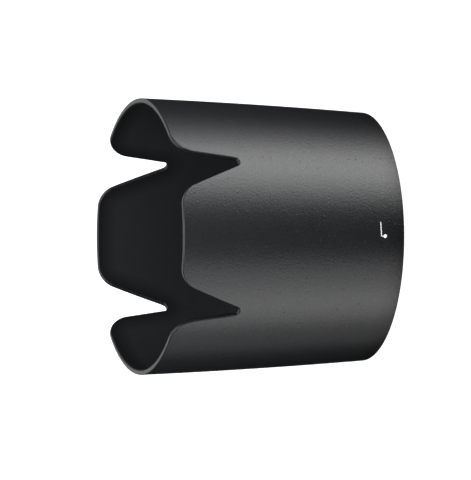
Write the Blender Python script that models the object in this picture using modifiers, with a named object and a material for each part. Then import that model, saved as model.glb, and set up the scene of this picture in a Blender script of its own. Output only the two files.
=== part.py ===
"""Petal lens hood: a moulded shell, a screwed-in bayonet ring with click springs, and flocked lining.

Frame: +Z is the optical axis and points to the front, with the origin at the middle of the rear
rim's plane. The wide petals are on +X and -X, the narrow ones on -Y (index mark) and +Y.
"""
import math

import bmesh
import bpy
from mathutils import Matrix, Vector

MM = 0.001
TURN = 2 * math.pi
CLEAR = 0.3 * MM               # gap between neighbouring pieces
PAST = 5.0 * MM                # how far a cutter runs past what it cuts
WELD = 1e-6

# Driving dimensions of the shell
HOOD_LENGTH = 88.4 * MM
REAR_RADIUS = 47.0 * MM
FRONT_RADIUS = 51.9 * MM
SIDE_BULGE = 0.4 * MM          # the side's rise over a straight cone at mid-length
WALL = 1.7 * MM
EDGE = 0.45 * MM               # rounding of the two rims
EDGE_STEPS = 2
STEPS = 72                     # faces around a turned shape
ROWS = 8                       # faces along the side

# The four notches. Arc lengths run from the middle of the narrow petal along the outside.
APEX_ARC = 30.1 * MM           # where the two edges of a notch would meet
APEX_HEIGHT = 58.9 * MM
NARROW_ARC = 17.55 * MM        # corner of the narrow petal, before rounding
WIDE_ARC = 35.25 * MM          # corner of the wide petal, before rounding
NOTCH_RADIUS = 1.85 * MM
NARROW_CORNER = 9.0 * MM
WIDE_CORNER = 9.5 * MM
ARC_STEPS = 7
CUT_RADIUS = 49.0 * MM         # middle radius of the notch cutters
CUT_DEPTH = 22.0 * MM

# Neck and bayonet ring
BORE_RADIUS = 42.0 * MM
SLEEVE_WALL = 1.1 * MM
NECK_RADIUS = BORE_RADIUS + SLEEVE_WALL + CLEAR
NECK_HEIGHT = 10.0 * MM
RING_BOTTOM = 1.0 * MM
FLANGE_BOTTOM = NECK_HEIGHT + CLEAR
FLANGE_TOP = FLANGE_BOTTOM + 1.8 * MM
FLANGE_RADIUS = 45.75 * MM
LUGS = 3
LUG_RADIUS = 40.9 * MM
LUG_BOTTOM = 3.0 * MM
LUG_TOP = 5.2 * MM
LUG_HALF_ANGLE = math.radians(15)
LUG_STEPS = 6
STOP_HEIGHT = 4.0 * MM
STOP_ANGLE = math.radians(3)

# Screws
SCREW_CIRCLE = 44.6 * MM
RING_SCREWS = 6
SHANK_RADIUS = 0.65 * MM
HOLE_GAP = 0.2 * MM            # between a shank and its hole
HOLE_RADIUS = SHANK_RADIUS + HOLE_GAP
HEAD_RADIUS = 1.15 * MM
HEAD_HEIGHT = 0.8 * MM
HEAD_FLAT = 0.6 * HEAD_RADIUS  # the head's level top
HEAD_RIM = 0.5 * HEAD_HEIGHT   # height of the head's straight rim
SHANK_LENGTH = 7.2 * MM
HOLE_BOTTOM = FLANGE_TOP - SHANK_LENGTH
SCREW_STEPS = 16
RECESS_WIDTH = 0.35 * MM
RECESS_LENGTH = 1.3 * MM
RECESS_DEPTH = 0.4 * MM

# Click springs, each in its own frame: x along the ring, y outward, the screw at the origin
LEAF_THICKNESS = 0.3 * MM
LEAF_HEIGHT = 3.0 * MM
TAB_BOTTOM = FLANGE_TOP + CLEAR
TAB_RADIUS = 1.2 * MM
TAB_LENGTH = 2.9 * MM
TAB_STEPS = 8
LEAF_ROUTE = [(1.7, -0.5), (8.7, -1.9), (11.0, -4.6), (12.8, -3.0)]
LEAF_LEAD = math.radians(8)    # from the middle of a gap between two lugs to the spring's screw

# Flocked lining
LINING = 0.5 * MM
LINING_MARGIN = 0.5 * MM       # bare edge left around each petal
LINING_BOTTOM = 16.0 * MM
LINING_ROWS = 5
SEAM_HALF_GAP = 0.25 * MM

# Index mark on the narrow petal's side of the neck
MARK_THICKNESS = 0.12 * MM
MARK_LIFT = 0.05 * MM
MARK_WIDTH = 0.35 * MM
MARK_LENGTH = 5.2 * MM
MARK_HEIGHT = 9.35 * MM
MARK_LEAN = 0.2 * MM           # the line's far end is this much nearer the front
MARK_SHIFT = 0.15 * MM         # from the petal's middle to the dot
DOT_HEIGHT = 7.85 * MM
DOT_RADIUS = 0.69 * MM
DOT_STEPS = 20
BEND_RADIUS = 0.45 * MM
BEND_STEPS = 4


def outer_radius(z):
    """Outer radius of the shell at height z: a cone with a slight bulge."""
    t = z / HOOD_LENGTH
    return REAR_RADIUS + (FRONT_RADIUS - REAR_RADIUS) * t + 4 * SIDE_BULGE * t * (1 - t)


def inner_radius(z):
    return outer_radius(z) - WALL


# Scene helpers

def clear_scene():
    for obj in list(bpy.data.objects):
        bpy.data.objects.remove(obj, do_unlink=True)


def new_collection(name):
    coll = bpy.data.collections.new(name)
    bpy.context.scene.collection.children.link(coll)
    return coll


def make_material(name, color, roughness, metallic=0.0):
    mat = bpy.data.materials.new(name)
    mat.use_nodes = True
    shader = mat.node_tree.nodes["Principled BSDF"]
    shader.inputs["Base Color"].default_value = (*color, 1.0)
    shader.inputs["Roughness"].default_value = roughness
    shader.inputs["Metallic"].default_value = metallic
    mat.diffuse_color = (*color, 1.0)
    return mat


def add_object(name, mesh, coll, mat=None):
    obj = bpy.data.objects.new(name, mesh)
    coll.objects.link(obj)
    if mat:
        mesh.materials.append(mat)
    if coll is CUTTERS:
        obj.hide_render = True
        obj.display_type = "WIRE"
    return obj


def evaluated_mesh(obj):
    """A mesh of the object as its modifiers leave it."""
    bpy.context.view_layer.update()
    depsgraph = bpy.context.evaluated_depsgraph_get()
    return bpy.data.meshes.new_from_object(obj.evaluated_get(depsgraph))


def bake(obj):
    """Replace the object's mesh by its evaluated one, smooth where it is round."""
    mesh = evaluated_mesh(obj)
    obj.modifiers.clear()
    obj.data = mesh
    mesh.shade_smooth()
    mesh.set_sharp_from_angle(angle=math.radians(30))


def boolean(obj, other, operation="DIFFERENCE"):
    mod = obj.modifiers.new(other.name, "BOOLEAN")
    mod.operation = operation
    mod.object = other


# Shape helpers

def turned(name, profile, coll, mat=None, steps=STEPS):
    """Turn a profile of (radius, height) points, given down its outer side, about Z."""
    on_axis = profile[0][0] == 0
    bm = bmesh.new()
    verts = [bm.verts.new((radius, 0, height)) for radius, height in profile]
    for first, second in zip(verts, verts[1:]):
        bm.edges.new((first, second))
    if not on_axis:
        bm.edges.new((verts[-1], verts[0]))
    mesh = bpy.data.meshes.new(name)
    bm.to_mesh(mesh)
    bm.free()
    obj = add_object(name, mesh, coll, mat)
    mod = obj.modifiers.new("Turn", "SCREW")
    mod.axis = "Z"
    mod.angle = TURN
    mod.steps = steps
    mod.render_steps = steps
    mod.use_merge_vertices = True
    mod.merge_threshold = WELD
    return obj


def heights_between(start, end, count):
    return [start + (end - start) * i / count for i in range(count + 1)]


def arc(centre, radius, start, end, steps):
    """Points on a circular arc, angles in radians."""
    points = []
    for i in range(steps + 1):
        angle = start + (end - start) * i / steps
        points.append((centre[0] + radius * math.cos(angle), centre[1] + radius * math.sin(angle)))
    return points


def fillet(before, corner, after, radius, steps=ARC_STEPS):
    """Points of the arc that rounds the corner between two straight edges."""
    corner = Vector(corner)
    back = (Vector(before) - corner).normalized()
    on = (Vector(after) - corner).normalized()
    half = back.angle(on) / 2
    centre = corner + (back + on).normalized() * (radius / math.sin(half))
    start = corner + back * (radius / math.tan(half)) - centre
    end = corner + on * (radius / math.tan(half)) - centre
    sweep = start.angle_signed(end)
    return [tuple(centre + Matrix.Rotation(-sweep * i / steps, 2) @ start) for i in range(steps + 1)]


def strip_outline(route, width):
    """Closed outline of a band of even width along a route of points, with mitred bends."""
    points = [Vector(point) for point in route]
    runs = [(after - before).normalized() for before, after in zip(points, points[1:])]
    left, right = [], []
    for point, before, after in zip(points, runs[:1] + runs, runs + runs[-1:]):
        along = (before + after).normalized()
        side = Vector((-along.y, along.x)) * (width / 2 / along.dot(before))
        left.append(tuple(point + side))
        right.append(tuple(point - side))
    return left + right[::-1]


def outline_mesh(name, outline, thickness):
    """Closed mesh of a flat outline in XY, with half of its thickness on each side."""
    curve = bpy.data.curves.new(name, "CURVE")
    curve.dimensions = "2D"
    curve.fill_mode = "BOTH"
    curve.extrude = thickness / 2
    spline = curve.splines.new("POLY")
    spline.points.add(len(outline) - 1)
    spline.use_cyclic_u = True
    for point, (x, y) in zip(spline.points, outline):
        point.co = (x, y, 0, 1)
    obj = bpy.data.objects.new(name, curve)
    bpy.context.scene.collection.objects.link(obj)
    mesh = evaluated_mesh(obj)
    bpy.data.objects.remove(obj)
    weld(mesh)
    return mesh


def weld(mesh):
    bm = bmesh.new()
    bm.from_mesh(mesh)
    bmesh.ops.remove_doubles(bm, verts=bm.verts, dist=WELD)
    bmesh.ops.recalc_face_normals(bm, faces=bm.faces)
    bm.to_mesh(mesh)
    bm.free()


def wrap(mesh, facing, sense, middle):
    """Bend a flat mesh (x along the rim, y up, z outward) around the hood's side.

    facing is the direction of x = 0, sense is which way x runs, middle is the radius of z = 0
    or a function of the height.
    """
    for vert in mesh.vertices:
        x, y, z = vert.co
        angle = facing + sense * x / outer_radius(y)
        radius = z + (middle(y) if callable(middle) else middle)
        vert.co = (radius * math.cos(angle), radius * math.sin(angle), y)
    weld(mesh)


def ring_block(name, radii, angles, heights, coll, steps):
    """A closed block bent around Z, between two radii, two angles and two heights."""
    bm = bmesh.new()
    bmesh.ops.create_grid(bm, x_segments=steps, y_segments=1, size=0.5)
    made = bmesh.ops.extrude_face_region(bm, geom=bm.faces[:])
    for vert in [v for v in made["geom"] if isinstance(v, bmesh.types.BMVert)]:
        vert.co.z = 1.0
    for vert in bm.verts:
        angle = angles[0] + (angles[1] - angles[0]) * (vert.co.x + 0.5)
        radius = radii[0] + (radii[1] - radii[0]) * (vert.co.y + 0.5)
        height = heights[0] + (heights[1] - heights[0]) * vert.co.z
        vert.co = (radius * math.cos(angle), radius * math.sin(angle), height)
    bmesh.ops.recalc_face_normals(bm, faces=bm.faces)
    mesh = bpy.data.meshes.new(name)
    bm.to_mesh(mesh)
    bm.free()
    return add_object(name, mesh, coll)


def peg(name, radius, bottom, top, place, coll, steps=SCREW_STEPS):
    """An upright cylinder between two heights at place (x, y)."""
    bm = bmesh.new()
    centre = Matrix.Translation((place[0], place[1], (bottom + top) / 2))
    bmesh.ops.create_cone(bm, cap_ends=True, segments=steps, radius1=radius, radius2=radius,
                          depth=top - bottom, matrix=centre)
    mesh = bpy.data.meshes.new(name)
    bm.to_mesh(mesh)
    bm.free()
    return add_object(name, mesh, coll)


def polar(radius, angle):
    return (radius * math.cos(angle), radius * math.sin(angle))


# Where things sit around the axis

def ring_screw_angles():
    return [TURN * (i + 0.5) / RING_SCREWS for i in range(RING_SCREWS)]


def leaf_angles():
    """Middle of each gap between two lugs, where a spring sits."""
    return [TURN * i / LUGS for i in range(LUGS)]


def leaf_screw_angles():
    return [angle + LEAF_LEAD for angle in leaf_angles()]


# The notches

def notch_outline(margin=0.0):
    """Outline of a notch, wider and deeper by a margin, as (arc length, height) points."""
    top = HOOD_LENGTH - margin
    rise = HOOD_LENGTH - APEX_HEIGHT
    narrow_slope = (NARROW_ARC - APEX_ARC) / rise
    wide_slope = (WIDE_ARC - APEX_ARC) / rise
    narrow_shift = margin * math.hypot(1, narrow_slope)
    wide_shift = margin * math.hypot(1, wide_slope)
    apex = APEX_HEIGHT - (narrow_shift + wide_shift) / (wide_slope - narrow_slope)
    tip = (APEX_ARC + (apex - APEX_HEIGHT) * wide_slope + wide_shift, apex)
    narrow = (APEX_ARC + (top - APEX_HEIGHT) * narrow_slope - narrow_shift, top)
    wide = (APEX_ARC + (top - APEX_HEIGHT) * wide_slope + wide_shift, top)
    rim_narrow = (narrow[0] - PAST, top)
    rim_wide = (wide[0] + PAST, top)
    points = fillet(rim_narrow, narrow, tip, NARROW_CORNER - margin)
    points += fillet(narrow, tip, wide, NOTCH_RADIUS + margin)
    points += fillet(tip, wide, rim_wide, WIDE_CORNER - margin)
    above = HOOD_LENGTH + PAST
    return [(points[0][0], above)] + points + [(points[-1][0], above)]


def notch_cutter(name, facing, sense, margin=0.0):
    mesh = outline_mesh(name, notch_outline(margin), CUT_DEPTH)
    wrap(mesh, facing, sense, CUT_RADIUS)
    return add_object(name, mesh, CUTTERS)


def notch_cutters(margin=0.0):
    """The four notches: one on each side of each narrow petal."""
    cutters = []
    for facing, side in ((-math.pi / 2, "left"), (math.pi / 2, "right")):
        for sense in (1, -1):
            cutters.append(notch_cutter(f"notch_{side}_{len(cutters)}", facing, sense, margin))
    return cutters


# The pieces

def make_shell():
    """Shell: one wall from rim to rim, a thick neck that seats the ring, and four notches."""
    top = HOOD_LENGTH
    outside = arc((outer_radius(top) - EDGE, top - EDGE), EDGE, math.pi / 2, 0, EDGE_STEPS)
    outside += [(outer_radius(z), z) for z in heights_between(top - EDGE, EDGE, ROWS)[1:-1]]
    outside += arc((outer_radius(EDGE) - EDGE, EDGE), EDGE, 0, -math.pi / 2, EDGE_STEPS)
    inside = [(NECK_RADIUS + EDGE, 0), (NECK_RADIUS, EDGE), (NECK_RADIUS, NECK_HEIGHT)]
    inside += [(inner_radius(z), z) for z in heights_between(NECK_HEIGHT, top - EDGE, ROWS)[:-1]]
    inside += arc((inner_radius(top) + EDGE, top - EDGE), EDGE, math.pi, math.pi / 2,
                  EDGE_STEPS)
    shell = turned("petal_shell", outside + inside, PARTS, SHELL_BLACK)
    for cutter in notch_cutters():
        boolean(shell, cutter)
    for i, angle in enumerate(ring_screw_angles() + leaf_screw_angles()):
        place = polar(SCREW_CIRCLE, angle)
        hole = peg(f"shell_hole_{i}", HOLE_RADIUS, HOLE_BOTTOM, NECK_HEIGHT + PAST, place, CUTTERS)
        boolean(shell, hole)
    bake(shell)


def make_bayonet_ring():
    """Ring: a sleeve with a front flange, three inward lugs and a stop at one end of each."""
    profile = [
        (FLANGE_RADIUS, FLANGE_TOP),
        (FLANGE_RADIUS, FLANGE_BOTTOM),
        (BORE_RADIUS + SLEEVE_WALL, FLANGE_BOTTOM),
        (BORE_RADIUS + SLEEVE_WALL, RING_BOTTOM),
        (BORE_RADIUS, RING_BOTTOM),
        (BORE_RADIUS, FLANGE_TOP),
    ]
    ring = turned("bayonet_ring", profile, PARTS, RING_BLACK)
    buried = BORE_RADIUS + SLEEVE_WALL / 2
    for i in range(LUGS):
        middle = TURN * (i + 0.5) / LUGS
        start, end = middle - LUG_HALF_ANGLE, middle + LUG_HALF_ANGLE
        lug = ring_block(f"lug_{i}", (LUG_RADIUS, buried), (start, end), (LUG_BOTTOM, LUG_TOP), CUTTERS,
                         LUG_STEPS)
        stop_heights = (LUG_TOP - CLEAR, LUG_TOP + STOP_HEIGHT)
        stop_radii = (LUG_RADIUS + CLEAR, buried - CLEAR / 2)
        stop = ring_block(f"stop_{i}", stop_radii, (end - STOP_ANGLE, end - CLEAR), stop_heights, CUTTERS, 1)
        boolean(ring, lug, "UNION")
        boolean(ring, stop, "UNION")
    for i, angle in enumerate(ring_screw_angles() + leaf_screw_angles()):
        place = polar(SCREW_CIRCLE, angle)
        hole = peg(f"ring_hole_{i}", HOLE_RADIUS, FLANGE_BOTTOM - PAST, FLANGE_TOP + PAST, place, CUTTERS)
        boolean(ring, hole)
    bake(ring)


def screw_mesh():
    """Pan-head screw with a cross recess, standing on z = 0 under its head."""
    profile = [(0, HEAD_HEIGHT)]
    profile += [(HEAD_FLAT, HEAD_HEIGHT), (HEAD_RADIUS, HEAD_RIM), (HEAD_RADIUS, 0)]
    profile += [(SHANK_RADIUS, 0), (SHANK_RADIUS, -SHANK_LENGTH), (0, -SHANK_LENGTH)]
    screw = turned("screw", profile, CUTTERS, SCREW_STEEL, SCREW_STEPS)
    for name, size in (("slot_x", (RECESS_LENGTH, RECESS_WIDTH)), ("slot_y", (RECESS_WIDTH, RECESS_LENGTH))):
        bm = bmesh.new()
        bmesh.ops.create_cube(bm, size=1)
        bmesh.ops.scale(bm, vec=(size[0], size[1], 2 * RECESS_DEPTH), verts=bm.verts)
        bmesh.ops.translate(bm, vec=(0, 0, HEAD_HEIGHT), verts=bm.verts)
        mesh = bpy.data.meshes.new(name)
        bm.to_mesh(mesh)
        bm.free()
        boolean(screw, add_object(name, mesh, CUTTERS))
    bake(screw)
    mesh = screw.data
    bpy.data.objects.remove(screw)
    return mesh


def make_screws():
    mesh = screw_mesh()
    leaf_seat = TAB_BOTTOM + LEAF_THICKNESS + CLEAR
    for i, angle in enumerate(ring_screw_angles()):
        place_screw(f"ring_screw_{i + 1}", mesh, angle, FLANGE_TOP + CLEAR)
    for i, angle in enumerate(leaf_screw_angles()):
        place_screw(f"spring_screw_{i + 1}", mesh, angle, leaf_seat)


def place_screw(name, mesh, angle, seat):
    screw = add_object(name, mesh, PARTS)
    screw.location = (*polar(SCREW_CIRCLE, angle), seat)
    screw.rotation_euler.z = angle


def leaf_mesh():
    """Click spring: a tab around its screw and an upright strip bent into a nose."""
    route = [(x * MM, y * MM) for x, y in LEAF_ROUTE]
    strip = outline_mesh("leaf", strip_outline(route, LEAF_THICKNESS), LEAF_HEIGHT)
    strip.transform(Matrix.Translation((0, 0, TAB_BOTTOM + LEAF_HEIGHT / 2)))
    tab_outline = arc((0, 0), TAB_RADIUS, math.pi / 2, 3 * math.pi / 2, TAB_STEPS)
    tab_outline += [(TAB_LENGTH, -TAB_RADIUS), (TAB_LENGTH, 0)]
    tab = outline_mesh("tab", tab_outline, LEAF_THICKNESS)
    tab.transform(Matrix.Translation((0, 0, TAB_BOTTOM + LEAF_THICKNESS / 2)))
    leaf = add_object("leaf", strip, CUTTERS, SPRING_STEEL)
    boolean(leaf, add_object("tab", tab, CUTTERS), "UNION")
    hole = peg("tab_hole", HOLE_RADIUS, 0, TAB_BOTTOM + PAST, (0, 0), CUTTERS)
    boolean(leaf, hole)
    bake(leaf)
    mesh = leaf.data
    bpy.data.objects.remove(leaf)
    return mesh


def make_leaves():
    """Three click springs, each with its origin on its screw's axis."""
    mesh = leaf_mesh()
    for i, angle in enumerate(leaf_screw_angles()):
        leaf = add_object(f"click_spring_{i + 1}", mesh, PARTS)
        leaf.location = (*polar(SCREW_CIRCLE, angle), 0)
        leaf.rotation_euler.z = angle - math.pi / 2


def make_lining(name, facing, half_arc, cutters, columns):
    """One petal's lining: a thin skin inside the wall, cut to the petal's outline."""
    bm = bmesh.new()
    bmesh.ops.create_grid(bm, x_segments=columns, y_segments=LINING_ROWS, size=0.5)
    top = HOOD_LENGTH - LINING_MARGIN
    half_angle = half_arc - SEAM_HALF_GAP / REAR_RADIUS
    for vert in bm.verts:
        height = LINING_BOTTOM + (top - LINING_BOTTOM) * (vert.co.y + 0.5)
        angle = facing + 2 * half_angle * vert.co.x
        vert.co = (*polar(inner_radius(height) - CLEAR, angle), height)
    bmesh.ops.reverse_faces(bm, faces=bm.faces)
    mesh = bpy.data.meshes.new(name)
    bm.to_mesh(mesh)
    bm.free()
    lining = add_object(name, mesh, PARTS, FLOCK_BLACK)
    mod = lining.modifiers.new("Thickness", "SOLIDIFY")
    mod.thickness = LINING
    mod.offset = 1
    for cutter in cutters:
        boolean(lining, cutter)
    bake(lining)


def make_linings():
    cutters = notch_cutters(LINING_MARGIN)
    seam = APEX_ARC / outer_radius(APEX_HEIGHT)
    narrow_columns = round(2 * seam / TURN * STEPS)
    wide_columns = STEPS // 2 - narrow_columns
    make_lining("flock_lining_left", -math.pi / 2, seam, cutters, narrow_columns)
    make_lining("flock_lining_right", math.pi / 2, seam, cutters, narrow_columns)
    make_lining("flock_lining_top", 0, math.pi / 2 - seam, cutters, wide_columns)
    make_lining("flock_lining_bottom", math.pi, math.pi / 2 - seam, cutters, wide_columns)


def make_index_mark():
    """Index mark: a line along the rim that turns back to a dot, printed on the neck."""
    far_end = (MARK_LENGTH, MARK_HEIGHT + MARK_LEAN)
    dot_centre = (0, DOT_HEIGHT)
    bend = fillet(far_end, (0, MARK_HEIGHT), dot_centre, BEND_RADIUS, BEND_STEPS)
    line = strip_outline([far_end] + bend + [dot_centre], MARK_WIDTH)
    mark = add_object("index_mark", outline_mesh("line", line, MARK_THICKNESS), PARTS, MARK_WHITE)
    dot = outline_mesh("dot", arc(dot_centre, DOT_RADIUS, 0, TURN, DOT_STEPS)[:-1], MARK_THICKNESS)
    boolean(mark, add_object("dot", dot, CUTTERS), "UNION")
    bake(mark)
    facing = -math.pi / 2 + MARK_SHIFT / REAR_RADIUS
    wrap(mark.data, facing, 1, lambda z: outer_radius(z) + MARK_LIFT + MARK_THICKNESS / 2)


clear_scene()
PARTS = new_collection("lens_hood")
CUTTERS = new_collection("cutters")
SHELL_BLACK = make_material("shell_black", (0.020, 0.020, 0.021), 0.45)
RING_BLACK = make_material("ring_black", (0.030, 0.030, 0.032), 0.36)
FLOCK_BLACK = make_material("flock_black", (0.037, 0.038, 0.042), 0.95)
SPRING_STEEL = make_material("spring_steel", (0.62, 0.62, 0.60), 0.30, 1.0)
SCREW_STEEL = make_material("screw_black", (0.22, 0.22, 0.22), 0.35, 1.0)
MARK_WHITE = make_material("mark_white", (0.88, 0.88, 0.88), 0.50)

make_shell()
make_bayonet_ring()
make_screws()
make_leaves()
make_linings()
make_index_mark()
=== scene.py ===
"""Looks of the petal lens hood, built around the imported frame.

Every length is in metres. Angles around the hood run from +X; +Z is the optical axis, to the front.
"""
import math

import bmesh
import bpy
from mathutils import Matrix, Vector
from mathutils.kdtree import KDTree


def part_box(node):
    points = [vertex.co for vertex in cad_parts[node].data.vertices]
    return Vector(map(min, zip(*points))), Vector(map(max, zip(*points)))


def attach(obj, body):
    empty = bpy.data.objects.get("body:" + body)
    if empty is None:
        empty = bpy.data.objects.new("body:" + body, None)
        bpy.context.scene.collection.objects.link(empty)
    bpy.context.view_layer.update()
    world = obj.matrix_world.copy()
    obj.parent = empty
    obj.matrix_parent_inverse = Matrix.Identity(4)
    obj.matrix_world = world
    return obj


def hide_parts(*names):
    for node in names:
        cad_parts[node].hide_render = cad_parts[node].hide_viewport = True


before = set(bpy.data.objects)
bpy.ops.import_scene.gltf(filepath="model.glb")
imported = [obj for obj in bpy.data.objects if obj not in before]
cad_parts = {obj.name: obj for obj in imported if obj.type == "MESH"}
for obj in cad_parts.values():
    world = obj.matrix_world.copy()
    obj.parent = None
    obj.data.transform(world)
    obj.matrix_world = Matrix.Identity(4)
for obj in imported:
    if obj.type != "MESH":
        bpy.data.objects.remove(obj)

MM = 0.001
TURN = 2 * math.pi
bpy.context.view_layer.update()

# The shell: the CAD's sizes, with its edges rounded
_, shell_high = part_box("petal_shell")
LENGTH = shell_high.z
FRONT_RADIUS = shell_high.y
REAR_RADIUS = 47.0 * MM
SIDE_BULGE = 0.4 * MM
WALL = 1.7 * MM
OUTER_EDGE = 0.45 * MM          # rounding of the wall's free edge on the outside
INNER_EDGE = 0.4 * MM           # and on the inside
EDGE_STEPS = 6                  # faces across each of those roundings
REAR_EDGE = 0.15 * MM           # rounding of the rear rim's edges
REAR_TURN = 7 * MM              # the side's shading turns under over this height at the rear
REAR_TILT = 0.14                # and there its normal tips down by this share of its length
APEX_ARC = 30.1 * MM
APEX_HEIGHT = 58.9 * MM
NARROW_ARC = 17.55 * MM
WIDE_ARC = 35.25 * MM
NOTCH_RADIUS = 1.85 * MM
NARROW_CORNER = 9.0 * MM
WIDE_CORNER = 9.5 * MM
CORNER_STEPS = 14               # columns across a narrow petal's corner
NOTCH_STEPS = 18                # and across a notch or a wide petal's corner
TOP_STEP = 1.2 * MM             # column spacing along the petals' ends
SIDE_STEP = 0.9 * MM            # and along the notches' sides
SKIN_ROWS = 44

# Neck and bayonet ring
BORE_RADIUS = 42.0 * MM
SLEEVE_RADIUS = 43.1 * MM
NECK_RADIUS = 43.4 * MM
NECK_HEIGHT = 10.0 * MM
SHOULDER_EDGE = 0.3 * MM        # rounding where the wall meets the neck's shoulder
NECK_EDGE = 0.25 * MM           # and where the shoulder meets the neck
PROFILE_STEPS = 5
SEAT_GAP = 0.02 * MM            # between pieces that rest on each other
RING_BOTTOM = 1.0 * MM
FLANGE_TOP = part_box("bayonet_ring")[1].z
FLANGE_RADIUS = 45.75 * MM
LUGS = 3
LUG_RADIUS = 40.9 * MM
LUG_BOTTOM = 3.0 * MM
LUG_TOP = 5.2 * MM
LUG_HALF_ANGLE = math.radians(15)
STOP_HEIGHT = 4.0 * MM
STOP_ANGLE = math.radians(3)
STOP_END = 0.0003               # radians between the stop's end and its lug's
STOP_INSET = 0.3 * MM           # the stop stands back from the lug's face and reaches into it
RING_EDGE = 0.18 * MM
RING_STEPS = 180

# Screws and click springs
SCREW_CIRCLE = 44.6 * MM
RING_SCREWS = 6
HEAD_RADIUS = 1.15 * MM
HEAD_HEIGHT = 0.8 * MM
SHANK_RADIUS = 0.65 * MM
SHANK_LENGTH = 6.8 * MM
POINT_LENGTH = 0.5 * MM
RECESS_SPAN = 1.3 * MM
RECESS_WIDTH = 0.34 * MM
SCREW_STEPS = 48
SCREW_SPIN = 0.7                # radians that each screw is turned more than the one before
SMALL_EDGE = 0.05 * MM          # edge rounding of screws and springs
LEAF_THICKNESS = 0.3 * MM
LEAF_HEIGHT = 3.0 * MM
TAB_RADIUS = 1.2 * MM
TAB_LENGTH = 2.9 * MM
LEAF_BEND = 0.5 * MM
LEAF_ROUTE = [                  # from the screw's axis: around the ring, and outward
    (1.7 * MM, -0.5 * MM), (8.7 * MM, -1.9 * MM), (11.0 * MM, -4.6 * MM), (12.8 * MM, -3.0 * MM)]
LEAF_LEAD = math.radians(8)

# Lining and index mark
LINING = 0.5 * MM
LINING_MARGIN = 0.25 * MM
LINING_ROWS = 40
LINING_BOTTOM = 16.0 * MM
LINING_EDGE = 0.2 * MM
LINING_STEPS = 4                # faces across its rounded rims
SEAM_HALF_GAP = 0.01 * MM
EDGE_SHADE_BAND = 7.0 * MM            # how far in from a petal's edge painted shade darkens the lining
MARK_THICKNESS = 0.05 * MM
MARK_WIDTH = 0.33 * MM
MARK_LENGTH = 5.2 * MM
MARK_HEIGHT = 9.35 * MM
MARK_LEAN = 0.2 * MM            # the line's far end is this much nearer the front
MARK_SHIFT = 0.15 * MM          # from the petal's middle to the dot
DOT_HEIGHT = 7.85 * MM
DOT_RADIUS = 0.69 * MM
BEND_RADIUS = 0.45 * MM
LINE_STEPS = 16                 # pieces of the line's straight part, so that it follows the wall

# Texture of the materials, and their painted shade
GRAIN = 0.75 * MM
GRAIN_DEPTH = 0.085 * MM
SPECK_SPACING = 1.8 * MM
SPECK_PATCH = 14 * MM           # size of the patches where specks crowd
SPECK_DEPTH = 0.05 * MM
REAR_PAINTED_SHADE = 8 * MM            # painted shade darkens the shell from the rear rim up to here
DULL_REAR = 7 * MM              # and rougher up to here
PALE_START = 52 * MM            # painted shade darkens the lining most below this height
PALE_END = 84 * MM              # and leaves it palest above this one
FIBRE = 0.16 * MM
FIBRE_DEPTH = 0.06 * MM

# Camera
CAMERA_ELEVATION = math.radians(19.23)      # in front of the plain side view
CAMERA_DISTANCE = 2.784
CAMERA_LENS = 554.8                         # focal length in mm on a 36 mm sensor
CAMERA_AIM = Vector((-1.28 * MM, 0, 50.26 * MM))
FLOOR_DROP = 0.3 * MM                       # the floor lies this far under the rear rim


def outer_radius(z):
    """Outer radius of the shell at height z: a cone with a slight bulge."""
    t = z / LENGTH
    return REAR_RADIUS + (FRONT_RADIUS - REAR_RADIUS) * t + 4 * SIDE_BULGE * t * (1 - t)


def outer_slope(z):
    """How fast the outer radius grows with height."""
    return (FRONT_RADIUS - REAR_RADIUS + 4 * SIDE_BULGE * (1 - 2 * z / LENGTH)) / LENGTH


# Placing points on the wall

def wall_axes(angle, z):
    """Unit vectors at a point of the wall: outward, around, and up along the side."""
    slope = outer_slope(z)
    level = Vector((math.cos(angle), math.sin(angle), 0))
    around = Vector((-math.sin(angle), math.cos(angle), 0))
    out = (level - Vector((0, 0, slope))).normalized()
    up = (level * slope + Vector((0, 0, 1))).normalized()
    return out, around, up


def polar(radius, angle):
    return radius * math.cos(angle), radius * math.sin(angle)


def wall_point(angle, z, depth=0.0):
    """The point that far inside the wall's outer surface."""
    radius = outer_radius(z) - depth
    return Vector((*polar(radius, angle), z))


# The free edge of the wall

def arc_turn(start, end, steps):
    """Unit normals turning evenly from one to the other."""
    first = math.atan2(start[1], start[0])
    sweep = math.atan2(end[1], end[0]) - first
    return [(math.cos(first + sweep * i / steps), math.sin(first + sweep * i / steps))
            for i in range(steps + 1)]


def straight(start, end, normal, step):
    """Samples strictly between two points, one each step."""
    start, end = Vector(start), Vector(end)
    count = max(2, round((end - start).length / step))
    return [(*start.lerp(end, i / count), *normal) for i in range(1, count)]


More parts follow.
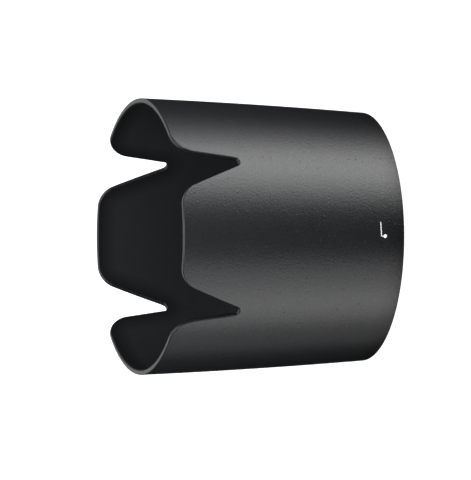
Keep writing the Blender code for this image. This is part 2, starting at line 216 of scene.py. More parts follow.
def quarter_edge():
    """Free edge from the middle of a narrow petal to the middle of a wide one.

    Each sample is (angle from the narrow petal's middle, height, and the edge's outward normal
    along the rim and up the side).
    """
    narrow, apex, wide = (NARROW_ARC, LENGTH), (APEX_ARC, APEX_HEIGHT), (WIDE_ARC, LENGTH)
    down = (Vector(apex) - Vector(narrow)).normalized()
    rise = (Vector(wide) - Vector(apex)).normalized()
    top_normal = (0.0, 1.0)
    down_normal = (-down.y, down.x)
    rise_normal = (-rise.y, rise.x)

    def corner(point, before, after, radius, sign):
        """Centre of the rounding at a corner; sign is 1 where the wall is inside the arc."""
        bisector = (Vector(before) + Vector(after)).normalized()
        half = Vector(before).angle(Vector(after)) / 2
        return Vector(point) - bisector * (sign * radius / math.cos(half))

    samples = []
    stops = [(corner(narrow, top_normal, down_normal, NARROW_CORNER, 1), NARROW_CORNER,
              arc_turn(top_normal, down_normal, CORNER_STEPS)),
             (corner(apex, down_normal, rise_normal, NOTCH_RADIUS, -1), -NOTCH_RADIUS,
              arc_turn(down_normal, rise_normal, NOTCH_STEPS)),
             (corner(wide, rise_normal, top_normal, WIDE_CORNER, 1), WIDE_CORNER,
              arc_turn(rise_normal, top_normal, NOTCH_STEPS))]
    last, last_normal = (0.0, LENGTH), top_normal
    samples.append((*last, *last_normal))
    for centre, radius, normals in stops:
        bend = [(*(centre + Vector(n) * radius), *n) for n in normals]
        step = TOP_STEP if last_normal == top_normal else SIDE_STEP
        samples += straight(last, bend[0][:2], last_normal, step)
        samples += bend
        last, last_normal = bend[-1][:2], normals[-1]
    end = (TURN / 4 * outer_radius(LENGTH), LENGTH)
    samples += straight(last, end, top_normal, TOP_STEP)
    samples.append((*end, *top_normal))
    return [(s / outer_radius(z), z, ns, nz) for s, z, ns, nz in samples]


def inset(sample, distance):
    """The sample's angle and height, moved into the wall."""
    angle, z, ns, nz = sample
    return angle - distance * ns / outer_radius(z), z - distance * nz


def around_hood(quarter):
    """The quarter's samples carried round the hood, as (petal's direction, sense, sample)."""
    columns = []
    for facing, sense in ((-90, 1), (90, -1), (90, 1), (270, -1)):
        run = quarter if sense > 0 else quarter[::-1]
        columns += [(math.radians(facing), sense, sample) for sample in run[:-1]]
    return columns


def rounded_profile(corners):
    """A profile of (radius, height, rounding) corners as (r, z, normal r, normal z) points.

    The normals point to the left of the way the profile runs, with r to the right and z up.
    """
    points = []
    for before, here, after in zip(corners, corners[1:], corners[2:]):
        corner = Vector(here[:2])
        back = (Vector(before[:2]) - corner).normalized()
        on = (Vector(after[:2]) - corner).normalized()
        half = back.angle(on) / 2
        centre = corner + (back + on).normalized() * (here[2] / math.sin(half))
        start = corner + back * (here[2] / math.tan(half)) - centre
        end = corner + on * (here[2] / math.tan(half)) - centre
        sweep = start.angle_signed(end)
        left = Vector((back.y, -back.x))
        side = 1 if left.dot(start) > 0 else -1
        for i in range(PROFILE_STEPS + 1):
            spoke = Matrix.Rotation(-sweep * i / PROFILE_STEPS, 2) @ start
            normal = spoke.normalized() * side
            points.append((*(centre + spoke), *normal))
    return points


def shell_section(facing, sense, sample, neck):
    """Closed outline of the wall at one column: points and normals, up the outside first."""
    points = []
    outer_angle, top = inset(sample, OUTER_EDGE)
    outer_angle = facing + sense * outer_angle
    for i in range(SKIN_ROWS + 1):
        z = REAR_EDGE + (top - REAR_EDGE) * i / SKIN_ROWS
        out, _, _ = wall_axes(outer_angle, z)
        tilt = REAR_TILT * max(0.0, 1 - z / REAR_TURN) ** 2
        points.append((wall_point(outer_angle, z), (out - Vector((0, 0, tilt))).normalized()))
    bends = [(OUTER_EDGE, i, 0, 1) for i in range(1, EDGE_STEPS + 1)]
    bends += [(INNER_EDGE, i, WALL, -1) for i in range(EDGE_STEPS, -1, -1)]
    for radius, i, skin, side in bends:
        turn = math.pi / 2 * i / EDGE_STEPS
        edge_angle, z = inset(sample, radius * (1 - math.sin(turn)))
        edge_angle = facing + sense * edge_angle
        depth = skin + side * radius * (1 - math.cos(turn))
        out, around, up = wall_axes(edge_angle, z)
        edge_normal = around * (sense * sample[2]) + up * sample[3]
        normal = out * (side * math.cos(turn)) + edge_normal * math.sin(turn)
        points.append((wall_point(edge_angle, z, depth), normal))
    inner_angle, top = inset(sample, INNER_EDGE)
    inner_angle = facing + sense * inner_angle
    bottom = neck[0][1]
    for i in range(1, SKIN_ROWS):
        share = i / SKIN_ROWS
        z = top + (bottom - top) * share
        angle = inner_angle + (outer_angle - inner_angle) * share
        out, _, _ = wall_axes(angle, z)
        points.append((wall_point(angle, z, WALL), -out))
    for radius, z, nr, nz in neck:
        normal = Vector((*polar(nr, outer_angle), nz))
        points.append((Vector((*polar(radius, outer_angle), z)), normal))
    return points


def neck_profile():
    """The inside from the shoulder down the neck, under the rear rim and out to the side.

    Its normals point into the wall, so it shades black, which shows only under the rear rim.
    """
    above = NECK_HEIGHT + 1 * MM
    below = 1 * MM
    return rounded_profile([
        (outer_radius(above) - WALL, above, 0),
        (outer_radius(NECK_HEIGHT) - WALL, NECK_HEIGHT, SHOULDER_EDGE),
        (NECK_RADIUS, NECK_HEIGHT, NECK_EDGE),
        (NECK_RADIUS, 0, REAR_EDGE),
        (outer_radius(0), 0, 0.9 * REAR_EDGE),
        (outer_radius(below), below, 0),
    ])


# Mesh helpers

def loft(name, sections, closed=True, normals=True):
    """Mesh through closed sections of (point, normal), joined end to end if closed, else capped."""
    count = len(sections[0])
    points = [point for section in sections for point, _ in section]
    faces = []
    for i in range(len(sections) if closed else len(sections) - 1):
        after = (i + 1) % len(sections)
        for j in range(count):
            k = (j + 1) % count
            faces.append((i * count + j, after * count + j, after * count + k, i * count + k))
    if not closed:
        last = (len(sections) - 1) * count
        faces.append(tuple(range(count)))
        faces.append(tuple(last + j for j in range(count))[::-1])
    mesh = bpy.data.meshes.new(name)
    mesh.from_pydata(points, [], faces)
    mesh.update()
    mesh.shade_smooth()
    if normals:
        vectors = [tuple(normal) for section in sections for _, normal in section]
        mesh.normals_split_custom_set_from_vertices(vectors)
    return mesh


def add_piece(name, mesh, material, body, slot, *nodes):
    """A shown piece that rides on a CAD body and stands for CAD nodes."""
    piece = bpy.data.objects.new(name, mesh)
    bpy.context.scene.collection.objects.link(piece)
    mesh.materials.clear()
    mesh.materials.append(material)
    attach(piece, body)
    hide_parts(*nodes)


def helper_object(name, mesh):
    obj = bpy.data.objects.new(name, mesh)
    bpy.context.scene.collection.objects.link(obj)
    return obj


def apply_modifiers(obj):
    """The object's evaluated mesh; the object itself is removed."""
    bpy.context.view_layer.update()
    depsgraph = bpy.context.evaluated_depsgraph_get()
    mesh = bpy.data.meshes.new_from_object(obj.evaluated_get(depsgraph))
    bpy.data.objects.remove(obj)
    return mesh


def boolean(obj, other, operation):
    mod = obj.modifiers.new(other.name, "BOOLEAN")
    mod.operation = operation
    mod.object = other


def bevelled(mesh, width, segments=3, limit=35):
    """The mesh with its sharp edges rounded, and its flat faces shaded flat."""
    obj = helper_object("bevel", mesh)
    bevel = obj.modifiers.new("Edges", "BEVEL")
    bevel.width = width
    bevel.segments = segments
    bevel.limit_method = "ANGLE"
    bevel.angle_limit = math.radians(limit)
    bevel.use_clamp_overlap = True
    obj.modifiers.new("Normals", "WEIGHTED_NORMAL").keep_sharp = True
    return apply_modifiers(obj)


def outline_mesh(name, outline, thickness):
    """Closed mesh of a flat outline in XY, with half of its thickness on each side."""
    bm = bmesh.new()
    verts = [bm.verts.new((x, y, -thickness / 2)) for x, y in outline]
    face = bm.faces.new(verts)
    made = bmesh.ops.extrude_face_region(bm, geom=[face])
    bmesh.ops.translate(bm, vec=(0, 0, thickness),
                        verts=[v for v in made["geom"] if isinstance(v, bmesh.types.BMVert)])
    bmesh.ops.recalc_face_normals(bm, faces=bm.faces)
    mesh = bpy.data.meshes.new(name)
    bm.to_mesh(mesh)
    bm.free()
    return mesh


def ring_block(name, radii, angles, heights, steps):
    """A closed block bent around Z, between two radii, two angles and two heights."""
    bm = bmesh.new()
    bmesh.ops.create_grid(bm, x_segments=steps, y_segments=1, size=0.5)
    made = bmesh.ops.extrude_face_region(bm, geom=bm.faces[:])
    for vert in [v for v in made["geom"] if isinstance(v, bmesh.types.BMVert)]:
        vert.co.z = 1.0
    for vert in bm.verts:
        angle = angles[0] + (angles[1] - angles[0]) * (vert.co.x + 0.5)
        radius = radii[0] + (radii[1] - radii[0]) * (vert.co.y + 0.5)
        vert.co = (*polar(radius, angle), heights[0] + (heights[1] - heights[0]) * vert.co.z)
    bmesh.ops.recalc_face_normals(bm, faces=bm.faces)
    mesh = bpy.data.meshes.new(name)
    bm.to_mesh(mesh)
    bm.free()
    return helper_object(name, mesh)


def revolved(name, profile, steps):
    """Mesh of a closed (radius, height) profile, given down its outer side, turned about Z."""
    points, faces = [], []
    count = len(profile)
    for i in range(steps):
        points += [(*polar(radius, TURN * i / steps), z) for radius, z in profile]
        after = (i + 1) % steps
        faces += [(i * count + j, i * count + (j + 1) % count,
                   after * count + (j + 1) % count, after * count + j) for j in range(count)]
    mesh = bpy.data.meshes.new(name)
    mesh.from_pydata(points, [], faces)
    bm = bmesh.new()
    bm.from_mesh(mesh)
    bmesh.ops.remove_doubles(bm, verts=bm.verts, dist=1e-7)
    bmesh.ops.dissolve_degenerate(bm, edges=bm.edges, dist=1e-7)
    bmesh.ops.recalc_face_normals(bm, faces=bm.faces)
    bm.to_mesh(mesh)
    bm.free()
    return mesh


# Materials

def new_material(name, color, roughness, metallic=0.0):
    """A plain material and its node tree; a value holds until a node is linked over it."""
    mat = bpy.data.materials.new(name)
    mat.use_nodes = True
    nodes = mat.node_tree.nodes
    shader = nodes["Principled BSDF"]
    shader.inputs["Base Color"].default_value = (*color, 1)
    shader.inputs["Roughness"].default_value = roughness
    shader.inputs["Metallic"].default_value = metallic
    return mat, nodes, mat.node_tree.links, shader


def object_noise(nodes, links, feature, detail=2.0, roughness=0.5, stretch=(1, 1, 1)):
    """Noise on the piece's own coordinates, with features of about that size in metres."""
    coords = nodes.new("ShaderNodeTexCoord")
    mapping = nodes.new("ShaderNodeMapping")
    mapping.inputs["Scale"].default_value = stretch
    noise = nodes.new("ShaderNodeTexNoise")
    noise.inputs["Scale"].default_value = 1 / feature
    noise.inputs["Detail"].default_value = detail
    noise.inputs["Roughness"].default_value = roughness
    links.new(coords.outputs["Object"], mapping.inputs["Vector"])
    links.new(mapping.outputs["Vector"], noise.inputs["Vector"])
    return noise.outputs["Fac"]


def remap(nodes, links, value, low, high, to_low, to_high):
    """The value carried from one range to another, held at the ends."""
    node = nodes.new("ShaderNodeMapRange")
    node.inputs["From Min"].default_value = low
    node.inputs["From Max"].default_value = high
    node.inputs["To Min"].default_value = to_low
    node.inputs["To Max"].default_value = to_high
    links.new(value, node.inputs["Value"])
    return node.outputs["Result"]


def color_between(nodes, links, factor, first, second):
    """A mix of two colours, each a tuple or another node's output."""
    node = nodes.new("ShaderNodeMix")
    node.data_type = "RGBA"
    for name, color in (("A", first), ("B", second)):
        socket = next(s for s in node.inputs if s.name == name and s.type == "RGBA")
        if isinstance(color, tuple):
            socket.default_value = (*color, 1)
        else:
            links.new(color, socket)
    links.new(factor, node.inputs["Factor"])
    return next(s for s in node.outputs if s.type == "RGBA")


def height_above_rear(nodes, links):
    """The piece's own z, since every piece's origin is on the rear rim's plane."""
    coords = nodes.new("ShaderNodeTexCoord")
    axes = nodes.new("ShaderNodeSeparateXYZ")
    links.new(coords.outputs["Object"], axes.inputs["Vector"])
    return axes.outputs["Z"]


def add_bump(nodes, links, shader, height, distance, before=None):
    """Bump of that many metres from a 0 to 1 height, over an earlier bump if there is one."""
    bump = nodes.new("ShaderNodeBump")
    bump.inputs["Strength"].default_value = 1.0
    bump.inputs["Distance"].default_value = distance
    links.new(height, bump.inputs["Height"])
    if before:
        links.new(before, bump.inputs["Normal"])
    links.new(bump.outputs["Normal"], shader.inputs["Normal"])
    return bump.outputs["Normal"]


def specks(nodes, links, spacing, patch):
    """1 on small round spots, one to a cell of that spacing, kept more often in some patches."""
    coords = nodes.new("ShaderNodeTexCoord")
    cells = nodes.new("ShaderNodeTexVoronoi")
    cells.inputs["Scale"].default_value = 1 / spacing
    links.new(coords.outputs["Object"], cells.inputs["Vector"])
    spot = remap(nodes, links, cells.outputs["Distance"], 0.10, 0.22, 1, 0)
    split = nodes.new("ShaderNodeSeparateColor")
    links.new(cells.outputs["Color"], split.inputs["Color"])
    chosen = nodes.new("ShaderNodeMath")
    chosen.operation = "LESS_THAN"
    crowding = object_noise(nodes, links, patch, 1)
    links.new(remap(nodes, links, crowding, 0.42, 0.62, 0.05, 0.5), chosen.inputs[1])
    links.new(split.outputs["Red"], chosen.inputs[0])
    both = nodes.new("ShaderNodeMath")
    both.operation = "MULTIPLY"
    links.new(spot, both.inputs[0])
    links.new(chosen.outputs["Value"], both.inputs[1])
    return both.outputs["Value"]


def shell_material():
    """Matte black moulding with a fine spark-eroded grain and a few pinhead specks, and painted
    shade that darkens it towards the rear.
    """
    mat, nodes, links, shader = new_material("shell_black", (0.02, 0.02, 0.021), 0.31)
    patches = object_noise(nodes, links, 9 * MM, 3)
    tint = color_between(nodes, links, patches, (0.0175, 0.0187, 0.0208), (0.0215, 0.0228, 0.0253))
    height = height_above_rear(nodes, links)
    # painted shade: the colour darkens from the front towards the rear rim
    along = remap(nodes, links, height, 0, LENGTH, 0, 1)
    tint = color_between(nodes, links, along, (0.010, 0.0106, 0.0118), tint)
    # painted shade: the colour goes almost black just above the rear rim
    rear_shade = remap(nodes, links, height, 0, REAR_PAINTED_SHADE, 0, 1)
    tint = color_between(nodes, links, rear_shade, (0.003, 0.003, 0.0033), tint)
    links.new(tint, shader.inputs["Base Color"])
    grain = object_noise(nodes, links, GRAIN, 3, 0.6)
    duller = remap(nodes, links, height, 0, DULL_REAR, 0.06, 0)
    rough = nodes.new("ShaderNodeMath")
    rough.operation = "ADD"
    links.new(remap(nodes, links, grain, 0.3, 0.7, 0.27, 0.35), rough.inputs[0])
    links.new(duller, rough.inputs[1])
    links.new(rough.outputs["Value"], shader.inputs["Roughness"])
    normal = add_bump(nodes, links, shader, grain, GRAIN_DEPTH)
    spots = specks(nodes, links, SPECK_SPACING, SPECK_PATCH)
    add_bump(nodes, links, shader, spots, SPECK_DEPTH, before=normal)
    return mat


def ring_material():
    """Glass-filled nylon: satin black, slightly mottled."""
    mat, nodes, links, shader = new_material("ring_black", (0.030, 0.030, 0.032), 0.36)
    mottle = object_noise(nodes, links, 2.5 * MM, 4)
    links.new(remap(nodes, links, mottle, 0.3, 0.7, 0.30, 0.42), shader.inputs["Roughness"])
    add_bump(nodes, links, shader, object_noise(nodes, links, 0.3 * MM, 2), 0.006 * MM)
    return mat


def flock_material():
    """Short black nylon flock: almost no gloss, with painted shade darkening it deep inside and by
    the petals' edges.
    """
    mat, nodes, links, shader = new_material("flock_black", (0.012, 0.012, 0.013), 1.0)
    shader.inputs["Specular IOR Level"].default_value = 0.1
    fibres = object_noise(nodes, links, FIBRE, 2, 0.7)
    lay = object_noise(nodes, links, 6 * MM, 3)
    tint = color_between(nodes, links, lay, (0.0352, 0.0363, 0.0395), (0.0395, 0.0407, 0.0443))
    distance = nodes.new("ShaderNodeAttribute")
    distance.attribute_name = "edge_distance"
    # painted shade: the lining darker deep inside the hood
    outward = remap(nodes, links, height_above_rear(nodes, links), PALE_START, PALE_END, 0, 1)
    tint = color_between(nodes, links, outward, (0.022, 0.0227, 0.0245), tint)
    # painted shade: the lining darker towards the petals' edges
    edge_shade = remap(nodes, links, distance.outputs["Fac"], 0, EDGE_SHADE_BAND, 0, 1)
    tint = color_between(nodes, links, edge_shade, (0.0145, 0.0149, 0.0163), tint)
    links.new(tint, shader.inputs["Base Color"])
    add_bump(nodes, links, shader, fibres, FIBRE_DEPTH)
    return mat


def steel_material():
    """Rolled stainless strip with fine lines along its length."""
    mat, nodes, links, shader = new_material("spring_steel", (0.62, 0.61, 0.59), 0.28, 1.0)
    lines = object_noise(nodes, links, 0.5 * MM, 3, 0.6, stretch=(1, 1, 12))
    links.new(remap(nodes, links, lines, 0.3, 0.7, 0.22, 0.38), shader.inputs["Roughness"])
    add_bump(nodes, links, shader, lines, 0.002 * MM)
    return mat


def screw_material():
    """Black-oxide steel, rubbed slightly brighter in patches."""
    mat, nodes, links, shader = new_material("screw_black", (0.09, 0.09, 0.09), 0.34, 1.0)
    rub = object_noise(nodes, links, 0.7 * MM, 4)
    tint = color_between(nodes, links, remap(nodes, links, rub, 0.55, 0.75, 0, 1),
                         (0.16, 0.16, 0.165), (0.34, 0.33, 0.32))
    links.new(tint, shader.inputs["Base Color"])
    links.new(remap(nodes, links, rub, 0.3, 0.7, 0.42, 0.28), shader.inputs["Roughness"])
    return mat


def mark_material():
    """Pad-printed white paint that follows the grain under it."""
    mat, nodes, links, shader = new_material("mark_white", (0.86, 0.86, 0.86), 0.5)
    grain = object_noise(nodes, links, 0.3 * MM, 2)
    tint = color_between(nodes, links, grain, (0.94, 0.94, 0.94), (0.97, 0.97, 0.97))
    links.new(tint, shader.inputs["Base Color"])
    add_bump(nodes, links, shader, grain, 0.01 * MM)
    return mat


# The pieces

def make_shell(material):
    """The moulding, lofted once around from columns that follow the free edge."""
    neck = neck_profile()
    sections = [shell_section(*column, neck) for column in around_hood(quarter_edge())]
    add_piece("hood_shell", loft("hood_shell", sections), material, "hood", "shell", "petal_shell")


def lining_section(angle, top):
    """Closed outline of the lining at one column: up the side on the wall, down the pile."""
    near, far = WALL, WALL + LINING
    rows = [LINING_BOTTOM + (top - LINING_BOTTOM) * i / LINING_ROWS for i in range(LINING_ROWS + 1)]
    points = [(wall_point(angle, z, near), None) for z in rows]
    for i in range(LINING_STEPS + 1):
        turn = math.pi / 2 * i / LINING_STEPS
        z = top - LINING_EDGE * (1 - math.cos(turn))
        points.append((wall_point(angle, z, far - LINING_EDGE * (1 - math.sin(turn))), None))
    low = LINING_BOTTOM + LINING_EDGE
    high = top - LINING_EDGE
    points += [(wall_point(angle, high + (low - high) * i / LINING_ROWS, far), None)
               for i in range(1, LINING_ROWS + 1)]
    for i in range(1, LINING_STEPS + 1):
        turn = math.pi / 2 * i / LINING_STEPS
        z = low - LINING_EDGE * math.sin(turn)
        points.append((wall_point(angle, z, far - LINING_EDGE * (1 - math.cos(turn))), None))
    return points


def store_edge_distance(mesh, facing, edge):
    """Keep each vertex's distance from the petal's edge, over the unrolled wall, on the mesh."""
    dense = []
    cuts = 6        # points along each piece of the edge
    for (angle, z), (next_angle, next_z) in zip(edge, edge[1:]):
        dense += [(angle + (next_angle - angle) * i / cuts, z + (next_z - z) * i / cuts)
                  for i in range(cuts)]
    tree = KDTree(len(dense))
    for i, (angle, z) in enumerate(dense):
        tree.insert((angle * FRONT_RADIUS, z, 0), i)
    tree.balance()
    values = []
    for vert in mesh.vertices:
        x, y, z = vert.co
        angle = (math.atan2(y, x) - facing + TURN / 2) % TURN - TURN / 2
        values.append(tree.find((angle * FRONT_RADIUS, z, 0))[2])
    mesh.attributes.new("edge_distance", "FLOAT", "POINT").data.foreach_set("value", values)


def make_linings(material):
    """One flocked panel for each petal, with its seams at the notches."""
    seam = APEX_ARC / outer_radius(APEX_HEIGHT)
    quarter = [inset(sample, LINING_MARGIN) for sample in quarter_edge()]
    gap = SEAM_HALF_GAP / REAR_RADIUS
    below = [column for column in quarter if column[0] < seam - gap]
    above = [column for column in quarter if column[0] > seam + gap]
    first, second = below[-1], above[0]
    share = (seam - first[0]) / (second[0] - first[0])
    seam_top = first[1] + (second[1] - first[1]) * share
    narrow = below + [(seam - gap, seam_top)]
    narrow = [(-a, z) for a, z in narrow[:0:-1]] + narrow
    half = [(TURN / 4 - a, z) for a, z in ([(seam + gap, seam_top)] + above)[::-1]]
    wide = [(-a, z) for a, z in half[:0:-1]] + half
    for name, facing, columns in (("left", -90, narrow), ("right", 90, narrow),
                                  ("top", 0, wide), ("bottom", 180, wide)):
        facing = math.radians(facing)
        sections = [lining_section(facing + angle, top) for angle, top in columns]
        mesh = loft("lining_" + name, sections, closed=False, normals=False)
        mesh.set_sharp_from_angle(angle=math.radians(50))
        store_edge_distance(mesh, facing, columns)
        add_piece("lining_" + name, mesh, material, "hood", "flock", "flock_lining_" + name)


def screw_angles():
    """Directions of the ring's screws, two for each lug, and of the click springs' screws."""
    ring = [TURN * (i + 0.5) / RING_SCREWS for i in range(RING_SCREWS)]
    leaf = [TURN * i / LUGS + LEAF_LEAD for i in range(LUGS)]
    return ring, leaf


def make_ring(material):
    """Bayonet ring, seated on the neck's shoulder."""
    seat = NECK_HEIGHT + SEAT_GAP
    profile = [
        (FLANGE_RADIUS, FLANGE_TOP),
        (FLANGE_RADIUS, seat),
        (SLEEVE_RADIUS, seat),
        (SLEEVE_RADIUS, RING_BOTTOM),
        (BORE_RADIUS, RING_BOTTOM),
        (BORE_RADIUS, FLANGE_TOP),
    ]
    ring = helper_object("ring", revolved("ring", profile, RING_STEPS))
    buried = (BORE_RADIUS + SLEEVE_RADIUS) / 2
    cutters = []
    for i in range(LUGS):
        middle = TURN * (i + 0.5) / LUGS
        start, end = middle - LUG_HALF_ANGLE, middle + LUG_HALF_ANGLE
        lug = ring_block(f"lug_{i}", (LUG_RADIUS, buried), (start, end), (LUG_BOTTOM, LUG_TOP), 16)
        stop = ring_block(f"stop_{i}", (LUG_RADIUS + STOP_INSET, buried - 0.5 * STOP_INSET),
                          (end - STOP_ANGLE, end - STOP_END),
                          (LUG_TOP - STOP_INSET, LUG_TOP + STOP_HEIGHT), 2)
        boolean(ring, lug, "UNION")
        boolean(ring, stop, "UNION")
        cutters += [lug, stop]
    mesh = apply_modifiers(ring)
    for cutter in cutters:
        bpy.data.objects.remove(cutter)
    add_piece("mount_ring", bevelled(mesh, RING_EDGE), material, "hood", "ring", "bayonet_ring")


def screw_mesh():
    """Pan-head cross-recess screw, standing on z = 0 under its head."""
    turns = [math.pi / 2 * i / 10 for i in range(11)]
    dome = [(HEAD_RADIUS * math.sin(turn), HEAD_HEIGHT * (0.45 + 0.55 * math.cos(turn)))
            for turn in turns]
    profile = dome + [(HEAD_RADIUS, 0), (SHANK_RADIUS, 0),
                      (SHANK_RADIUS, -SHANK_LENGTH + POINT_LENGTH),
                      (0.5 * SHANK_RADIUS, -SHANK_LENGTH), (0, -SHANK_LENGTH)]
    screw = helper_object("screw", revolved("screw", profile, SCREW_STEPS))
    cutters = []
    for wide, deep in ((RECESS_SPAN, RECESS_WIDTH), (RECESS_WIDTH, RECESS_SPAN)):
        bm = bmesh.new()
        bmesh.ops.create_cube(bm, size=1)
        bmesh.ops.scale(bm, vec=(wide, deep, HEAD_HEIGHT), verts=bm.verts)
        for vert in bm.verts:
            if vert.co.z < 0:       # the slot tapers towards its bottom
                vert.co.x *= 0.6 if wide > deep else 0.8
                vert.co.y *= 0.6 if deep > wide else 0.8
        bmesh.ops.translate(bm, vec=(0, 0, 0.8 * HEAD_HEIGHT), verts=bm.verts)
        mesh = bpy.data.meshes.new("recess")
        bm.to_mesh(mesh)
        bm.free()
        cutter = helper_object("recess", mesh)
        boolean(screw, cutter, "DIFFERENCE")
        cutters.append(cutter)
    mesh = apply_modifiers(screw)
    for cutter in cutters:
        bpy.data.objects.remove(cutter)
    return bevelled(mesh, SMALL_EDGE, 2, 30)


def make_screws(material):
    ring_angles, leaf_angles = screw_angles()
    master = screw_mesh()
    leaf_seat = FLANGE_TOP + LEAF_THICKNESS
    for kind, angles, seat in (("ring_screw", ring_angles, FLANGE_TOP),
                               ("spring_screw", leaf_angles, leaf_seat)):
        for number, angle in enumerate(angles, 1):
            mesh = master.copy()
            place = Matrix.Translation((*polar(SCREW_CIRCLE, angle), seat))
            mesh.transform(place @ Matrix.Rotation(angle + SCREW_SPIN * number, 4, "Z"))
            add_piece(f"{kind}_head_{number}", mesh, material, "hood", "screw", f"{kind}_{number}")


def smooth_route(route, radius):
    """A route of points with its bends rounded."""
    points = [Vector(route[0])]
    for before, here, after in zip(route, route[1:], route[2:]):
        corner = Vector(here)
        back = (Vector(before) - corner).normalized()
        on = (Vector(after) - corner).normalized()
        half = back.angle(on) / 2
        centre = corner + (back + on).normalized() * (radius / math.sin(half))
        start = corner + back * (radius / math.tan(half)) - centre
        sweep = start.angle_signed(corner + on * (radius / math.tan(half)) - centre)
        points += [centre + Matrix.Rotation(-sweep * i / 8, 2) @ start for i in range(9)]
    return points + [Vector(route[-1])]


def strip_outline(points, width):
    """Closed outline of a band of even width along a route of points."""
    runs = [(after - before).normalized() for before, after in zip(points, points[1:])]
    left, right = [], []
    for point, before, after in zip(points, runs[:1] + runs, runs + runs[-1:]):
        along = (before + after).normalized()
        side = Vector((-along.y, along.x)) * (width / 2 / along.dot(before))
        left.append(tuple(point + side))
        right.append(tuple(point - side))
    return left + right[::-1]


def circle(centre, radius, start=0.0, end=TURN, steps=32):
    """Points along an arc, with both of its ends."""
    return [(centre[0] + radius * math.cos(start + (end - start) * i / steps),
             centre[1] + radius * math.sin(start + (end - start) * i / steps))
            for i in range(steps + 1)]


def leaf_mesh():
    """Click spring: a tab under its screw and an upright strip bent into a nose."""
    route = smooth_route(LEAF_ROUTE, LEAF_BEND)
    strip = outline_mesh("strip", strip_outline(route, LEAF_THICKNESS), LEAF_HEIGHT)
    strip.transform(Matrix.Translation((0, 0, LEAF_HEIGHT / 2)))
    outline = circle((0, 0), TAB_RADIUS, math.pi / 2, 3 * math.pi / 2, 24)
    outline += [(TAB_LENGTH, -TAB_RADIUS), (TAB_LENGTH, 0)]
    tab = outline_mesh("tab", outline, LEAF_THICKNESS)
    tab.transform(Matrix.Translation((0, 0, LEAF_THICKNESS / 2)))
    leaf = helper_object("leaf", strip)
    plate = helper_object("plate", tab)
    boolean(leaf, plate, "UNION")
    mesh = apply_modifiers(leaf)
    bpy.data.objects.remove(plate)
    return bevelled(mesh, SMALL_EDGE, 2, 30)


def make_leaves(material):
    master = leaf_mesh()
    _, angles = screw_angles()
    for number, angle in enumerate(angles, 1):
        mesh = master.copy()
        place = Matrix.Translation((*polar(SCREW_CIRCLE, angle), FLANGE_TOP + SEAT_GAP))
        mesh.transform(place @ Matrix.Rotation(angle - math.pi / 2, 4, "Z"))
        add_piece(f"click_leaf_{number}", mesh, material, f"spring_{number}", "spring",
                  f"click_spring_{number}")


def make_mark(material):
    """Printed line and dot, laid on the side of the neck."""
    far_end = (MARK_LENGTH, MARK_HEIGHT + MARK_LEAN)
    corner = smooth_route([far_end, (0, MARK_HEIGHT), (0, DOT_HEIGHT)], BEND_RADIUS)
    line = [corner[0].lerp(corner[1], i / LINE_STEPS) for i in range(LINE_STEPS)] + corner[1:]
    band = strip_outline(line, MARK_WIDTH)
    spot = circle((0, DOT_HEIGHT), DOT_RADIUS)[:-1]
    strip = helper_object("line", outline_mesh("line", band, MARK_THICKNESS))
    dot = helper_object("dot", outline_mesh("dot", spot, MARK_THICKNESS))
    boolean(strip, dot, "UNION")
    mesh = apply_modifiers(strip)
    bpy.data.objects.remove(dot)
    bm = bmesh.new()
    bm.from_mesh(mesh)
    bmesh.ops.triangulate(bm, faces=bm.faces, ngon_method="BEAUTY")
    bm.to_mesh(mesh)
    bm.free()
    for vert in mesh.vertices:
        x, height, lift = vert.co
        angle = -math.pi / 2 + (x + MARK_SHIFT) / outer_radius(height)
        vert.co = wall_point(angle, height, -lift - MARK_THICKNESS / 4)
    mesh.shade_smooth()
    mesh.set_sharp_from_angle(angle=math.radians(40))
    add_piece("index_print", mesh, material, "hood", "mark", "index_mark")


# Camera, light and floor

CENTRE = Vector((0, 0, LENGTH / 2))


def make_camera():
    """A long lens in front of the side view, rolled so that the hood's front is to the left."""
    back = Vector((0, -math.cos(CAMERA_ELEVATION), math.sin(CAMERA_ELEVATION)))
    up = Vector((1, 0, 0))
    right = up.cross(back)
    data = bpy.data.cameras.new("camera")
    data.sensor_width = 36
    data.lens = CAMERA_LENS
    data.clip_start = 0.05
    data.clip_end = 100
    camera = bpy.data.objects.new("camera", data)
    bpy.context.scene.collection.objects.link(camera)
    rotation = Matrix((right, up, back)).transposed().to_4x4()
    camera.matrix_world = Matrix.Translation(CAMERA_AIM + back * CAMERA_DISTANCE) @ rotation
    bpy.context.scene.camera = camera


def soft_light(name, azimuth, elevation, distance, width, height, power):
    """A softbox aimed at the hood. Azimuth 0 is towards -Y and 90 towards +X."""
    a, e = math.radians(azimuth), math.radians(elevation)
    back = Vector((math.sin(a) * math.cos(e), -math.cos(a) * math.cos(e), math.sin(e)))
    data = bpy.data.lights.new(name, "AREA")
    data.shape = "RECTANGLE"
    data.size = width
    data.size_y = height
    data.energy = power
    light = bpy.data.objects.new(name, data)
    light.visible_camera = False
    bpy.context.scene.collection.objects.link(light)
    light.rotation_euler = back.to_track_quat("Z", "Y").to_euler()
    light.location = CENTRE + back * distance


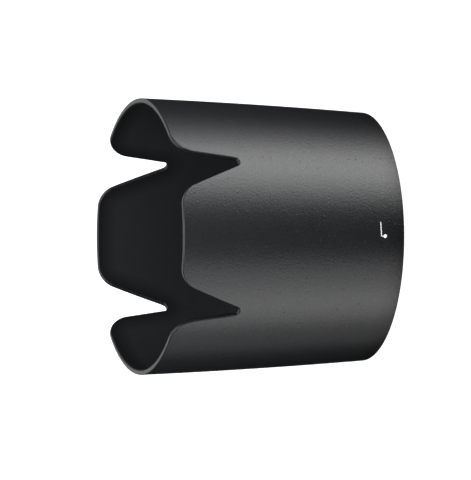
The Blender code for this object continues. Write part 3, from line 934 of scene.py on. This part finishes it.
def make_lights():
    """Tall boxes on both sides give the two long bands; the others open up the rim and the inside.

    Each is given by its azimuth, elevation, distance, width, height and power.
    """
    low = -22       # elevation of the side boxes, which puts their bands along the whole side
    for azimuth, power in ((44, 2.6), (57, 2.7), (70, 3.7), (84, 1.5), (100, 0.35)):
        soft_light(f"key_top_{azimuth}", azimuth, low, 1.0, 0.4, 0.8, power)
    soft_light("key_bottom_41", -41, low, 1.0, 0.6, 0.8, 2.5)
    for azimuth, power in ((57, 0.9), (70, 2.0), (100, 0.5)):
        soft_light(f"key_bottom_{azimuth}", -azimuth, low, 1.0, 0.4, 0.8, power)
    soft_light("front_fill", 0, 12, 1.2, 0.8, 0.5, 0.3)
    soft_light("front_high", 0, 42, 1.2, 0.6, 0.9, 8.7)
    soft_light("fill_top", 45, 50, 1.2, 0.8, 0.5, 1.3)
    soft_light("back_screen", 180, 20, 1.2, 1.6, 0.6, 2.8)
    soft_light("back_high", 180, 65, 1.2, 2.0, 0.8, 6.5)
    soft_light("back_low", 180, -20, 1.0, 0.4, 0.8, 0.9)


def make_floor():
    """A plain pale floor, bright by itself, that neither lights nor shades the hood."""
    bm = bmesh.new()
    bmesh.ops.create_grid(bm, x_segments=1, y_segments=1, size=30)
    mesh = bpy.data.meshes.new("floor")
    bm.to_mesh(mesh)
    bm.free()
    floor = bpy.data.objects.new("floor", mesh)
    floor.location.z = -FLOOR_DROP
    bpy.context.scene.collection.objects.link(floor)
    mat, _, _, shader = new_material("floor_white", (0.85, 0.85, 0.85), 0.9)
    shader.inputs["Emission Color"].default_value = (1, 1, 1, 1)
    shader.inputs["Emission Strength"].default_value = 1.0
    mesh.materials.append(mat)
    floor.visible_diffuse = False
    floor.visible_glossy = False
    floor.visible_shadow = False


def make_world():
    """Almost dark for the light on the hood, white where the camera looks past it."""
    world = bpy.data.worlds.new("studio")
    bpy.context.scene.world = world
    world.use_nodes = True
    nodes, links = world.node_tree.nodes, world.node_tree.links
    background = nodes["Background"]
    background.inputs["Color"].default_value = (0.002, 0.002, 0.002, 1)
    seen = nodes.new("ShaderNodeBackground")
    seen.inputs["Color"].default_value = (1, 1, 1, 1)
    path = nodes.new("ShaderNodeLightPath")
    mix = nodes.new("ShaderNodeMixShader")
    links.new(path.outputs["Is Camera Ray"], mix.inputs["Fac"])
    links.new(background.outputs["Background"], mix.inputs[1])
    links.new(seen.outputs["Background"], mix.inputs[2])
    links.new(mix.outputs["Shader"], nodes["World Output"].inputs["Surface"])


make_shell(shell_material())
make_linings(flock_material())
make_ring(ring_material())
make_screws(screw_material())
make_leaves(steel_material())
make_mark(mark_material())
make_camera()
make_lights()
make_floor()
make_world()
bpy.context.scene.view_settings.view_transform = "Standard"
